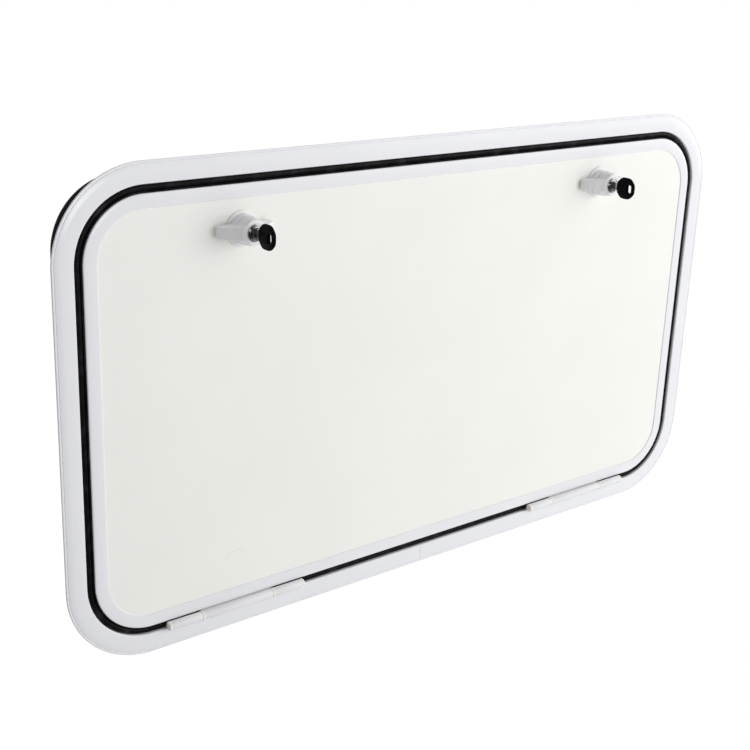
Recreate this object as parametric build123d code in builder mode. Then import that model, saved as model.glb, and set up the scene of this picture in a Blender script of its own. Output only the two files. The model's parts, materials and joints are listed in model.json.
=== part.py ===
from build123d import *
import os

# Access hatch for a caravan's side wall: a rounded aluminium frame, a sandwich door
# hinged along its bottom edge, and two wing handles with key cylinders.
# Millimetres. X runs along the hatch, Y into the wall, Z up. The origin is the middle of
# the hatch on the plane of the wall's outer face. In sections, "inset" is measured inwards
# from the frame's outer edge, and "out" is measured outwards from the wall's face.

# Overall size
width = 850.0
height = 480.0
corner_radius = 88.0

# Frame extrusion
flange_width = 20.8
flange_edge = 1.2
flange_shoulder_width = 4.5
flange_shoulder = 2.0
flange_face = 2.6
flange_lip_bevel = 1.2
frame_wall = 1.8
wall_thickness = 30.0

# Gap between the frame and the door
door_gap = 7.9

# Door sandwich and its edge trim
trim_width = 13.3
trim_lip = 1.0
trim_web = 1.6
trim_rear_width = 11.0
trim_rear_lip = 1.2
trim_bevel = 0.6
panel_face = 2.0
skin = 1.5
core = 15.0
panel_clearance = 0.3
stop_clearance = 5.2
ledge_reach = 14.2

# Inner clamp ring
clamp_inset = 15.0
clamp_corner_radius = 66.0
clamp_plate = 2.5
clamp_collar = 1.7
clamp_collar_depth = 3.5
clamp_clearance = 0.3
clamp_bevel = 0.8
leg_overhang = 1.0

# Bulb seal on the door's edge
bulb_radius = 3.3
bulb_sides = 8
bulb_foot_overlap = 0.3
seal_foot = 1.5
seal_foot_length = 6.5
seal_depth = 2.1
seal_relief = 0.8

# Hinges
hinge_from_corner = 13.5
barrel_radius = 4.5
barrel_out = 6.4
pin_radius = 2.5
pin_clearance = 0.05
end_knuckle = 35.0
middle_knuckle = 82.0
washer = 1.0
washer_flange = 0.4
cap = 3.0
cap_spigot_depth = 2.0
leaf = 1.8
leaf_depth = 15.0
leaf_clearance = 1.1

# Locks
lock_from_side = 188.0
lock_from_top = 70.3
rosette_radius = 17.2
rosette_thickness = 1.9
sleeve_radius = 11.0
sleeve_hole_clearance = 0.3
sleeve_overhang = 6.0
nut_sides = 6
nut_across_flats = 30.0
nut_thickness = 5.0
nut_clearance = 0.1

# Wing handle
turning_gap = 0.3
hub_radius = 14.0
hub_height = 9.6
hub_step = 0.4
barrel_rim_radius = 11.75
barrel_height = 11.2
wing_reach = 30.0
wing_height = 10.9
wing_rear_gap = 0.4
wing_tip_thickness = 3.8
wing_root_reach = 10.0
wing_root_drop = 1.6
wing_tip_radius = 3.5
wing_bevel = 1.2

# Spindle, tongue and their nut
spindle_radius = 6.0
spindle_clearance = 0.1
spindle_square = 8.0
stud_radius = 3.0
stud_overhang = 1.0
tongue_gap = 3.0
tongue_thickness = 3.0
tongue_width = 16.0
tongue_overlap = 9.0
tongue_fit = 0.1
tongue_nut_across_flats = 10.0
tongue_nut_thickness = 5.0

# Key cylinder and key
cylinder_radius = 8.1
cylinder_proud = 0.5
cylinder_depth = 9.0
cylinder_clearance = 0.1
plug_radius = 6.0
plug_proud = 0.4
keyway_width = 2.6
keyway_height = 9.0
blade_width = 2.2
blade_height = 8.4
blade_depth = 7.0
neck_length = 6.2
head_length = 24.2
head_height = 23.5
head_thickness = 4.0
head_corner = 6.5
head_corner_radius = 3.0
head_bevel = 0.9
ring_hole_width = 6.4
ring_hole_height = 10.0
ring_hole_place = 18.0
blade_socket = 6.0

# Places worked out from the sizes above
door_inset = flange_width + door_gap
door_corner = corner_radius - door_inset
panel_inset = door_inset + trim_web + panel_clearance
trim_face = panel_face + trim_lip
core_front = panel_face - skin
core_rear = core_front - core
panel_rear = core_rear - skin
trim_rear = panel_rear - trim_rear_lip
ledge_front = trim_rear - stop_clearance
ledge_rear = ledge_front - frame_wall
ledge_inset = flange_width + ledge_reach
leg_outside = ledge_inset - frame_wall
clamp_front = -wall_thickness
clamp_rear = clamp_front - clamp_plate
leg_end = clamp_rear - leg_overhang

hinge_inset = flange_width + door_gap / 2
hinge_z = hinge_inset - height / 2
hinge_length = 2 * (end_knuckle + washer + cap) + middle_knuckle
hinge_across = width / 2 - corner_radius - hinge_from_corner - hinge_length / 2
bore_radius = pin_radius + pin_clearance

lock_across = width / 2 - lock_from_side
lock_z = height / 2 - lock_from_top
rosette_face = panel_face + rosette_thickness
handle_rear = rosette_face + turning_gap
hub_top = handle_rear + hub_height
barrel_top = hub_top + barrel_height
wing_rear = handle_rear + wing_rear_gap
cylinder_face = barrel_top + cylinder_proud
cylinder_rear = cylinder_face - cylinder_depth
plug_face = cylinder_face + plug_proud
head_start = plug_face + neck_length
sleeve_end = panel_rear - sleeve_overhang
tongue_front = leg_end - tongue_gap
tongue_rear = tongue_front - tongue_thickness
stud_end = tongue_rear - tongue_nut_thickness - stud_overhang
tongue_length = lock_from_top - leg_outside + tongue_overlap

sides = {"left": -1, "right": 1}


def half_loop(inset, radius):
    """Path from the middle of the bottom edge round the right side to the top."""
    across = width / 2 - inset
    up = height / 2 - inset
    with BuildLine(Plane.XZ) as path:
        FilletPolyline((0, -up), (across, -up), (across, up), (0, up), radius=radius)
    return path.line


def at_section(points):
    """Section points given as (inset, out), on the plane across the bottom edge."""
    return [(-out, inset - height / 2) for inset, out in points]


def across_section(inset, out):
    """One such point, as a location for a round."""
    return Location((-out, inset - height / 2))


def facing_out(x, z, out):
    """Plane parallel to the wall's face, looking outwards, at a distance from it."""
    return Plane(origin=(x, -out, z), x_dir=(1, 0, 0), z_dir=(0, -1, 0))


def side_on(x, z, out):
    """Level plane through a point, with its second axis pointing outwards."""
    return Plane(origin=(x, -out, z), x_dir=(1, 0, 0), z_dir=(0, 0, -1))


def along_hinge(x):
    """Plane across the hinge at x, centred on the pin, second axis pointing up."""
    return Plane(origin=(x, -barrel_out, hinge_z), x_dir=(0, 1, 0), z_dir=(1, 0, 0))


def along_key(x, z, out):
    """Upright plane along a key, with its first axis pointing outwards."""
    return Plane(origin=(x, -out, z), x_dir=(0, -1, 0), z_dir=(1, 0, 0))


def save(built, name):
    """Label a finished piece and write it."""
    built.part.label = name
    export_step(built.part, f"parts/{name}.step")


os.makedirs("parts", exist_ok=True)

# Frame: one extrusion bent round the opening, with a flange, a stop ledge and a rear leg
with BuildPart() as outer_frame:
    with BuildSketch(Plane.YZ):
        with BuildLine():
            Polyline(
                at_section(
                    [
                        (0, 0),
                        (0, flange_edge),
                        (flange_shoulder_width, flange_shoulder),
                        (flange_width, flange_face),
                        (flange_width, ledge_front),
                        (ledge_inset, ledge_front),
                        (ledge_inset, leg_end),
                        (leg_outside, leg_end),
                        (leg_outside, ledge_rear),
                        (flange_width - frame_wall, ledge_rear),
                        (flange_width - frame_wall, 0),
                    ]
                ),
                close=True,
            )
        section = make_face()
        chamfer(section.vertices().group_by(Axis.X)[0], flange_lip_bevel)
    sweep(path=half_loop(0, corner_radius))
    mirror(about=Plane.YZ)
save(outer_frame, "outer_frame")

# Clamp ring: holds the wall from the inside against the flange
with BuildPart() as clamp_ring:
    collar_outside = leg_outside - clamp_clearance - clamp_collar
    with BuildSketch(Plane.YZ):
        with BuildLine():
            Polyline(
                at_section(
                    [
                        (clamp_inset, clamp_rear),
                        (clamp_inset, clamp_front),
                        (collar_outside, clamp_front),
                        (collar_outside, clamp_front + clamp_collar_depth),
                        (leg_outside - clamp_clearance, clamp_front + clamp_collar_depth),
                        (leg_outside - clamp_clearance, clamp_rear),
                    ]
                ),
                close=True,
            )
        section = make_face()
        outer_corner = section.vertices().group_by(Axis.Y)[0].sort_by(Axis.X)[-1]
        chamfer(outer_corner, clamp_bevel)
    sweep(path=half_loop(clamp_inset, clamp_corner_radius))
    mirror(about=Plane.YZ)
save(clamp_ring, "clamp_ring")

# Door trim: a channel that closes the edge of the sandwich
with BuildPart() as door_trim:
    with BuildSketch(Plane.YZ):
        with BuildLine():
            Polyline(
                at_section(
                    [
                        (door_inset, trim_rear),
                        (door_inset, trim_face),
                        (door_inset + trim_width, trim_face),
                        (door_inset + trim_width, panel_face),
                        (door_inset + trim_web, panel_face),
                        (door_inset + trim_web, panel_rear),
                        (door_inset + trim_rear_width, panel_rear),
                        (door_inset + trim_rear_width, trim_rear),
                    ]
                ),
                close=True,
            )
        section = make_face()
        chamfer(section.vertices().group_by(Axis.X)[0], trim_bevel)
    sweep(path=half_loop(door_inset, door_corner))
    mirror(about=Plane.YZ)
save(door_trim, "door_trim")

# Door sandwich: two skins on a core, each bored for the lock sleeves
sheets = {
    "outer_skin": (panel_face, skin),
    "foam_core": (core_front, core),
    "inner_skin": (core_rear, skin),
}
for sheet_name, (front, thickness) in sheets.items():
    with BuildPart() as sheet:
        with BuildSketch(facing_out(0, 0, front)):
            RectangleRounded(
                width - 2 * panel_inset,
                height - 2 * panel_inset,
                corner_radius - panel_inset,
            )
            with Locations((-lock_across, lock_z), (lock_across, lock_z)):
                Circle(sleeve_radius + sleeve_hole_clearance, mode=Mode.SUBTRACT)
        extrude(amount=-thickness)
    save(sheet, sheet_name)

# Door seal: a bulb on a flat foot, cut away where the hinge leaves stand
with BuildPart() as door_seal:
    bulb_inset = door_inset - seal_foot + bulb_foot_overlap - bulb_radius
    with BuildSketch(Plane.YZ):
        with Locations(across_section(bulb_inset, -seal_depth)):
            RegularPolygon(bulb_radius, bulb_sides)
        with Locations(across_section(door_inset - seal_foot / 2, -seal_depth)):
            Rectangle(seal_foot_length, seal_foot)
    sweep(path=half_loop(door_inset, door_corner))
    mirror(about=Plane.YZ)
    for side in sides.values():
        hinge_x = side * hinge_across
        leaf_height = leaf + seal_relief
        frame_leaf_z = flange_width - height / 2 + leaf_height / 2
        with Locations((hinge_x, 0, frame_leaf_z)):
            Box(hinge_length, 2 * leaf_depth, leaf_height, mode=Mode.SUBTRACT)
        with Locations((hinge_x, 0, hinge_z)):
            Box(
                middle_knuckle + 2 * washer,
                2 * leaf_depth,
                door_gap,
                mode=Mode.SUBTRACT,
            )
save(door_seal, "door_seal")

# Hinges: end knuckles on the frame, the long middle knuckle on the door
for side_name, side in sides.items():
    hinge_x = side * hinge_across
    end_places = [
        hinge_x - middle_knuckle / 2 - washer - end_knuckle / 2,
        hinge_x + middle_knuckle / 2 + washer + end_knuckle / 2,
    ]
    leaf_top = leaf_depth / 2
    frame_leaf_up = -door_gap / 2 + leaf / 2
    door_leaf_up = door_gap / 2 - leaf / 2
    plate_front = barrel_out - barrel_radius - leaf_clearance

    with BuildPart() as frame_leaf:
        for end_x in end_places:
            with BuildSketch(along_hinge(end_x)):
                Circle(barrel_radius)
                with Locations((leaf_top, frame_leaf_up)):
                    Rectangle(leaf_depth, leaf)
                Circle(bore_radius, mode=Mode.SUBTRACT)
            extrude(amount=end_knuckle / 2, both=True)
        with BuildSketch(along_hinge(hinge_x)):
            with Locations(((leaf_depth + barrel_out - plate_front) / 2, frame_leaf_up)):
                Rectangle(leaf_depth - barrel_out + plate_front, leaf)
        extrude(amount=middle_knuckle / 2 + washer, both=True)
    save(frame_leaf, f"{side_name}_hinge_frame_leaf")

    with BuildPart() as door_leaf:
        with BuildSketch(along_hinge(hinge_x)):
            Circle(barrel_radius)
            with Locations((leaf_top, door_leaf_up)):
                Rectangle(leaf_depth, leaf)
            Circle(bore_radius, mode=Mode.SUBTRACT)
        extrude(amount=middle_knuckle / 2, both=True)
    save(door_leaf, f"{side_name}_hinge_door_leaf")

    with BuildPart() as hinge_pin:
        with BuildSketch(along_hinge(hinge_x)):
            Circle(pin_radius)
        extrude(amount=hinge_length / 2 - cap - cap_spigot_depth, both=True)
    save(hinge_pin, f"{side_name}_hinge_pin")

    with BuildPart() as hinge_caps:
        for end in (-1, 1):
            cap_x = hinge_x + end * (hinge_length / 2 - cap)
            with BuildSketch(along_hinge(cap_x)):
                Circle(barrel_radius)
            extrude(amount=end * cap)
            with BuildSketch(along_hinge(cap_x)):
                Circle(pin_radius)
            extrude(amount=-end * cap_spigot_depth)
    save(hinge_caps, f"{side_name}_hinge_caps")

    with BuildPart() as hinge_washers:
        for end in (-1, 1):
            washer_x = hinge_x + end * (middle_knuckle + washer) / 2
            with BuildSketch(along_hinge(washer_x)):
                Circle(barrel_radius + washer_flange)
                Circle(bore_radius, mode=Mode.SUBTRACT)
            extrude(amount=washer / 2, both=True)
    save(hinge_washers, f"{side_name}_hinge_washers")

# Locks: rosette and nut on the door; handle, spindle and tongue turn; the key turns in them
for side_name, side in sides.items():
    lock_x = side * lock_across
    lock_axis = Axis((lock_x, 0, lock_z), (0, 1, 0))

    with BuildPart() as rosette:
        bore = spindle_radius + spindle_clearance
        with BuildSketch(side_on(lock_x, lock_z, 0)):
            with BuildLine():
                Polyline(
                    (bore, sleeve_end),
                    (sleeve_radius, sleeve_end),
                    (sleeve_radius, panel_face),
                    (rosette_radius, panel_face),
                    (rosette_radius, rosette_face),
                    (bore, rosette_face),
                    close=True,
                )
            make_face()
        revolve(axis=lock_axis)
    save(rosette, f"{side_name}_lock_rosette")

    with BuildPart() as lock_nut:
        with BuildSketch(facing_out(lock_x, lock_z, panel_rear)):
            RegularPolygon(nut_across_flats / 2, nut_sides, major_radius=False)
            Circle(sleeve_radius + nut_clearance, mode=Mode.SUBTRACT)
        extrude(amount=-nut_thickness)
    save(lock_nut, f"{side_name}_lock_nut")

    with BuildPart() as handle:
        with BuildSketch(side_on(lock_x, lock_z, 0)):
            with BuildLine():
                wing_top = wing_rear + wing_tip_thickness
                root_top = barrel_top - wing_root_drop
                Polyline(
                    (-wing_reach, wing_rear),
                    (-wing_reach, wing_top),
                    (-wing_root_reach, root_top),
                    (wing_root_reach, root_top),
                    (wing_reach, wing_top),
                    (wing_reach, wing_rear),
                    close=True,
                )
            make_face()
        extrude(amount=wing_height / 2, both=True)
        tips = handle.edges().filter_by(Axis.Y).group_by(Axis.X)
        fillet(tips[0] + tips[-1], wing_tip_radius)
        slopes = handle.faces().filter_by(GeomType.PLANE).filter_by(
            lambda face: face.normal_at().Y < 0 and face.normal_at().X != 0
        )
        chamfer(slopes.edges(), wing_bevel)
        with BuildSketch(facing_out(lock_x, lock_z, handle_rear)):
            Circle(hub_radius)
        extrude(amount=hub_height)
        with BuildSketch(facing_out(lock_x, lock_z, hub_top)):
            Circle(hub_radius - hub_step)
        with BuildSketch(facing_out(lock_x, lock_z, barrel_top)):
            Circle(barrel_rim_radius)
        loft()
        with BuildSketch(facing_out(lock_x, lock_z, cylinder_rear)):
            Circle(cylinder_radius + cylinder_clearance)
        extrude(amount=cylinder_depth, mode=Mode.SUBTRACT)
    save(handle, f"{side_name}_handle")

    with BuildPart() as spindle:
        with BuildSketch(facing_out(lock_x, lock_z, handle_rear)):
            Circle(spindle_radius)
        extrude(amount=tongue_front - handle_rear)
        with BuildSketch(facing_out(lock_x, lock_z, tongue_front)):
            Rectangle(spindle_square, spindle_square)
        extrude(amount=-tongue_thickness)
        with BuildSketch(facing_out(lock_x, lock_z, tongue_rear)):
            Circle(stud_radius)
        extrude(amount=stud_end - tongue_rear)
    save(spindle, f"{side_name}_spindle")

    with BuildPart() as tongue:
        with BuildSketch(facing_out(lock_x, lock_z, tongue_front)):
            tongue_run = tongue_length - tongue_width / 2
            with Locations((-side * tongue_run / 2, 0)):
                SlotCenterToCenter(tongue_run, tongue_width)
            Rectangle(
                spindle_square + 2 * tongue_fit,
                spindle_square + 2 * tongue_fit,
                mode=Mode.SUBTRACT,
            )
        extrude(amount=-tongue_thickness)
    save(tongue, f"{side_name}_latch_tongue")

    with BuildPart() as tongue_nut:
        with BuildSketch(facing_out(lock_x, lock_z, tongue_rear)):
            RegularPolygon(tongue_nut_across_flats / 2, nut_sides, major_radius=False)
            Circle(stud_radius + tongue_fit, mode=Mode.SUBTRACT)
        extrude(amount=-tongue_nut_thickness)
    save(tongue_nut, f"{side_name}_tongue_nut")

    with BuildPart() as cylinder:
        inside = plug_radius + cylinder_clearance
        with BuildSketch(side_on(lock_x, lock_z, 0)):
            with BuildLine():
                Polyline(
                    (inside, cylinder_rear),
                    (cylinder_radius, cylinder_rear),
                    (cylinder_radius, cylinder_face),
                    (inside, cylinder_face),
                    close=True,
                )
            make_face()
        revolve(axis=lock_axis)
    save(cylinder, f"{side_name}_lock_cylinder")

    with BuildPart() as plug:
        with BuildSketch(facing_out(lock_x, lock_z, cylinder_rear + cylinder_clearance)):
            Circle(plug_radius)
            Rectangle(keyway_width, keyway_height, mode=Mode.SUBTRACT)
        extrude(amount=plug_face - cylinder_rear - cylinder_clearance)
    save(plug, f"{side_name}_lock_plug")

    with BuildPart() as blade:
        with BuildSketch(facing_out(lock_x, lock_z, plug_face - blade_depth)):
            Rectangle(blade_width, blade_height)
        extrude(amount=head_start + blade_socket - plug_face + blade_depth)
    save(blade, f"{side_name}_key_blade")

    with BuildPart() as key_head:
        with BuildSketch(along_key(lock_x, lock_z, head_start)):
            with BuildLine():
                half = head_height / 2
                Polyline(
                    (0, head_corner - half),
                    (head_corner, -half),
                    (head_length - head_corner, -half),
                    (head_length, head_corner - half),
                    (head_length, half - head_corner),
                    (head_length - head_corner, half),
                    (head_corner, half),
                    (0, half - head_corner),
                    close=True,
                )
            outline = make_face()
            fillet(outline.vertices(), head_corner_radius)
            with Locations((ring_hole_place, 0)):
                SlotOverall(ring_hole_height, ring_hole_width, rotation=90, mode=Mode.SUBTRACT)
        extrude(amount=head_thickness / 2, both=True)
        for flat in key_head.faces().filter_by(Axis.X):
            chamfer(flat.outer_wire().edges(), head_bevel)
        with BuildSketch(facing_out(lock_x, lock_z, head_start)):
            Rectangle(blade_width, blade_height)
        extrude(amount=blade_socket, mode=Mode.SUBTRACT)
    save(key_head, f"{side_name}_key_head")
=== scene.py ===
"""Looks of a caravan access hatch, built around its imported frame.

Lengths in the classes are millimetres, as on a maker's drawing, and finished meshes are metres.
"Inset" is measured inwards from the frame's outer edge, "out" outwards from the wall's face.
"""
import json
import logging
import math
from bisect import bisect_right
from dataclasses import dataclass, field
from enum import Enum
from typing import Any, Iterable, Sequence

import bmesh
import bpy
from mathutils import Matrix, Vector


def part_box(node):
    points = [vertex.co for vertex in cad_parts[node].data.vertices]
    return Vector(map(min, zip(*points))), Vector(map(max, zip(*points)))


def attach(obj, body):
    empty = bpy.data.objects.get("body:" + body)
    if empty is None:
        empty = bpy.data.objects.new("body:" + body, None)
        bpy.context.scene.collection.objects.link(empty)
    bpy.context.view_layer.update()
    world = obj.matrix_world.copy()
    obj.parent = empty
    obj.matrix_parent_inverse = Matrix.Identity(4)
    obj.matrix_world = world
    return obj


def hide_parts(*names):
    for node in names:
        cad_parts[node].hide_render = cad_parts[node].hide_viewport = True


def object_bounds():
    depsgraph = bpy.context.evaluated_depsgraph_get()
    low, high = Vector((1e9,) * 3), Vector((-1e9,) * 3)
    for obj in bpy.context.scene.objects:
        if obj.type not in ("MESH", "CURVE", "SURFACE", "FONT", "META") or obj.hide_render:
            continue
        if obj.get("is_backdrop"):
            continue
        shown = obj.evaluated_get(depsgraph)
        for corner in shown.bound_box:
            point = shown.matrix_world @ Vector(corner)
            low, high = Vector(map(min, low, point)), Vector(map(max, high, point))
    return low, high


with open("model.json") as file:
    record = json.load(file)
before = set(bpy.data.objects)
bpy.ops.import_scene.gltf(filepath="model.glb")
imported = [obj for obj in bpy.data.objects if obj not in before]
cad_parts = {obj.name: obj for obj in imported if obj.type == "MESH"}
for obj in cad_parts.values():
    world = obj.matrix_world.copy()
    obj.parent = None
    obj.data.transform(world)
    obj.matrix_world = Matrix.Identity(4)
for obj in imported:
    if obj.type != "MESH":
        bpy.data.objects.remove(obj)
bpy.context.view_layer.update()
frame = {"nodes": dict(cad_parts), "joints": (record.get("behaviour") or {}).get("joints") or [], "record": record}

Point = tuple[float, float]
Triple = tuple[float, float, float]
Piece = bpy.types.Object
Socket = bpy.types.NodeSocket
Ring = list[bmesh.types.BMVert]

LOG = logging.getLogger("hatch")
MM = 0.001
WHITE = (1.0, 1.0, 1.0, 1.0)
# Degrees: the turn of a chord, that of a chord in a finer arc, and that of a sharp edge
ARC_STEP = 15.0
FINE_STEP = 7.5
CREASE = 35.0
# Points that are this close, in millimetres, become one
WELD = 0.0005
# A corner with this share of the half width leaves a trace of straight between two round ends
FULL_ROUND = 0.999


class Side(Enum):
    """The two ends of the hatch, each with a hinge and a lock."""

    LEFT = "left"
    RIGHT = "right"

    def of(self, piece: str) -> str:
        """Name of this side's own piece, node, body or joint."""
        return f"{self.value}_{piece}"


class Grain(Enum):
    """How polishing marks on plated metal are scaled along each axis."""

    ALONG = (0.02, 1.0, 1.0)
    OUTWARD = (1.0, 0.02, 1.0)
    NONE = (1.0, 1.0, 1.0)


class Facing(Enum):
    """Where a placement's local axes point, as the rows of its turn.

    OUT: along the hatch, up, and out of the wall.
    HINGE: into the wall, up, and along the hatch.
    KEY: out of the wall, up, and back along the hatch.
    """

    OUT = ((1, 0, 0), (0, 0, -1), (0, 1, 0))
    HINGE = ((0, 0, 1), (1, 0, 0), (0, 1, 0))
    KEY = ((0, 0, -1), (-1, 0, 0), (0, 1, 0))

    def at(self, x: float, z: float, out: float = 0.0) -> Matrix:
        """Placement that stands at one point of the hatch."""
        return Matrix.Translation((x, -out, z)) @ Matrix(self.value).to_4x4()


def node_box(node: str) -> tuple[Vector, Vector]:
    """Lowest and highest corner of a CAD node, in millimetres."""
    low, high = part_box(node)
    return low / MM, high / MM


def joint_place(name: str) -> Vector:
    """A point on a joint's axis, in millimetres."""
    joint = next(joint for joint in frame["joints"] if joint["name"] == name)
    return Vector(joint["pos_m"]) / MM


def rounded_outline(corners: Sequence[Triple], step: float = ARC_STEP) -> list[Point]:
    """Round off the corners of a closed outline.

    Args:
        corners: x, y and radius of each corner, in order.
        step: Largest turn of one chord of an arc, in degrees.

    Returns:
        The outline's points, with an arc at each corner that has a radius.
    """
    points: list[Point] = []
    for index, (x, y, radius) in enumerate(corners):
        if radius == 0:
            points.append((x, y))
            continue
        corner = Vector((x, y))
        before = (corner - Vector(corners[index - 1][:2])).normalized()
        after = (Vector(corners[(index + 1) % len(corners)][:2]) - corner).normalized()
        turn = math.atan2(before.x * after.y - before.y * after.x, before.dot(after))
        start = corner - before * radius * math.tan(abs(turn) / 2)
        side = math.copysign(1.0, turn)
        centre = start + Vector((-before.y, before.x)) * radius * side
        chords = max(1, math.ceil(abs(math.degrees(turn)) / step))
        for chord in range(chords + 1):
            arm = start - centre
            arm.rotate(Matrix.Rotation(turn * chord / chords, 2))
            points.append(tuple(centre + arm))
    return points


def rectangle(
    start: Point, end: Point, radius: float = 0.0, step: float = ARC_STEP
) -> list[Point]:
    """Outline of a rectangle.

    Args:
        start: One corner.
        end: The opposite corner.
        radius: Radius of all corners.
        step: Largest turn of one chord of an arc, in degrees.

    Returns:
        The outline's points, from the first corner along x.
    """
    corners = (start, (end[0], start[1]), end, (start[0], end[1]))
    return rounded_outline([(x, y, radius) for x, y in corners], step)


def arc(
    radius: float, start: float, sweep: float, steps: int, middle: Point = (0.0, 0.0)
) -> list[Point]:
    """Divide an arc.

    Args:
        radius: Its radius.
        start: Direction of its first point from its middle, in radians.
        sweep: How far it turns, in radians.
        steps: Number of its chords.
        middle: Its middle.

    Returns:
        The points along it, with both ends.
    """
    turns = [start + sweep * step / steps for step in range(steps + 1)]
    x, y = middle
    return [(x + radius * math.cos(turn), y + radius * math.sin(turn)) for turn in turns]


def circle(radius: float, sides: int, middle: Point = (0.0, 0.0)) -> list[Point]:
    """Points round a circle."""
    return arc(radius, 0.0, math.tau, sides, middle)[:-1]


def hexagon(across_flats: float, corner_radius: float) -> list[Point]:
    """Outline of a nut, with its corners a little rounded."""
    corners = circle(across_flats / math.sqrt(3), 6)
    return rounded_outline([(x, y, corner_radius) for x, y in corners])


class NodeSketch:
    """A node tree under construction."""

    def __init__(self, tree: bpy.types.NodeTree) -> None:
        """Work on a tree that exists."""
        self.tree = tree

    def feed(self, target: Socket, value: Any) -> None:
        """Put something into a socket.

        Args:
            target: The socket.
            value: The output of another node, or a plain value.
        """
        if isinstance(value, Socket):
            self.tree.links.new(value, target)
        else:
            target.default_value = value

    def node(
        self, kind: str, feeds: dict[str | int, Any] | None = None, **settings: Any
    ) -> bpy.types.Node:
        """Add a node.

        Args:
            kind: Its type.
            feeds: What goes into its inputs, by their names or numbers.
            settings: Its properties.

        Returns:
            The node.
        """
        made = self.tree.nodes.new(kind)
        for name, value in settings.items():
            setattr(made, name, value)
        for key, value in (feeds or {}).items():
            self.feed(made.inputs[key], value)
        return made

    def spread(
        self, source: Socket, low: float, high: float, start: float = 0.3, end: float = 0.7
    ) -> Socket:
        """Map a value's range.

        Args:
            source: The value.
            low: Result at start and below.
            high: Result at end and above.
            start: Value that gives low.
            end: Value that gives high.

        Returns:
            The mapped value.
        """
        ranges = {"From Min": start, "From Max": end, "To Min": low, "To Max": high}
        made = self.node(
            "ShaderNodeMapRange", {"Value": source, **ranges}, interpolation_type="SMOOTHSTEP"
        )
        return made.outputs["Result"]

    def math(self, operation: str, first: Socket, second: Socket | float = 0.0) -> Socket:
        """One step of arithmetic on values."""
        return self.node("ShaderNodeMath", {0: first, 1: second}, operation=operation).outputs[0]

    def times(self, *factors: Socket | float) -> Socket:
        """Multiply values.

        Args:
            factors: The values, the first of them a socket.

        Returns:
            Their product.
        """
        product = factors[0]
        for factor in factors[1:]:
            product = self.math("MULTIPLY", product, factor)
        return product

    def blend(self, share: Socket, first: Socket | float, second: Socket | float) -> Socket:
        """Blend two values, by the share of the second."""
        return self.node("ShaderNodeMix", {0: share, 2: first, 3: second}).outputs[0]

    def mix(self, share: Socket, first: Socket | Triple, second: Triple) -> Socket:
        """Blend two colours.

        Args:
            share: Share of the second colour.
            first: A colour, or the socket of one.
            second: A colour.

        Returns:
            The blended colour.
        """
        start = first if isinstance(first, Socket) else (*first, 1.0)
        feeds = {0: share, 6: start, 7: (*second, 1.0)}
        return self.node("ShaderNodeMix", feeds, data_type="RGBA").outputs[2]

    def split(self, vector: Socket) -> bpy.types.bpy_prop_collection:
        """The X, Y and Z of a vector."""
        return self.node("ShaderNodeSeparateXYZ", {0: vector}).outputs


class ShaderSketch(NodeSketch):
    """A material under construction, on the object's own coordinates."""

    def __init__(self, name: str) -> None:
        """Start a node material with its usual shader.

        Args:
            name: The material's name.
        """
        self.material = bpy.data.materials.new(name)
        self.material.use_nodes = True
        super().__init__(self.material.node_tree)
        self.shader = self.tree.nodes["Principled BSDF"]
        self.coords = self.node("ShaderNodeTexCoord").outputs["Object"]

    def drive(self, **values: Any) -> None:
        """Feed the shader's own sockets, named with _ for a space."""
        for name, value in values.items():
            self.feed(self.shader.inputs[name.replace("_", " ")], value)

    def noise(self, scale: float, detail: float, stretch: Triple = (1.0, 1.0, 1.0)) -> Socket:
        """Soft random values.

        Args:
            scale: Cells in a metre.
            detail: Octaves of finer noise.
            stretch: Scale along each axis, less than one for long marks.

        Returns:
            A value between about 0.25 and 0.75.
        """
        scaled = self.node("ShaderNodeMapping", {"Vector": self.coords, "Scale": stretch})
        feeds = {"Vector": scaled.outputs["Vector"], "Scale": scale, "Detail": detail}
        return self.node("ShaderNodeTexNoise", feeds).outputs[0]

    def cells(self, scale: float) -> Socket:
        """Distance from the middle of random cells, for stipple and foam."""
        feeds = {"Vector": self.coords, "Scale": scale}
        return self.node("ShaderNodeTexVoronoi", feeds).outputs["Distance"]

    def bump(self, height: Socket, depth: float) -> None:
        """Give the shader a relief, with depth for the millimetres of a height of 1."""
        made = self.node("ShaderNodeBump", {"Height": height, "Distance": depth * MM})
        self.drive(Normal=made.outputs["Normal"])


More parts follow.
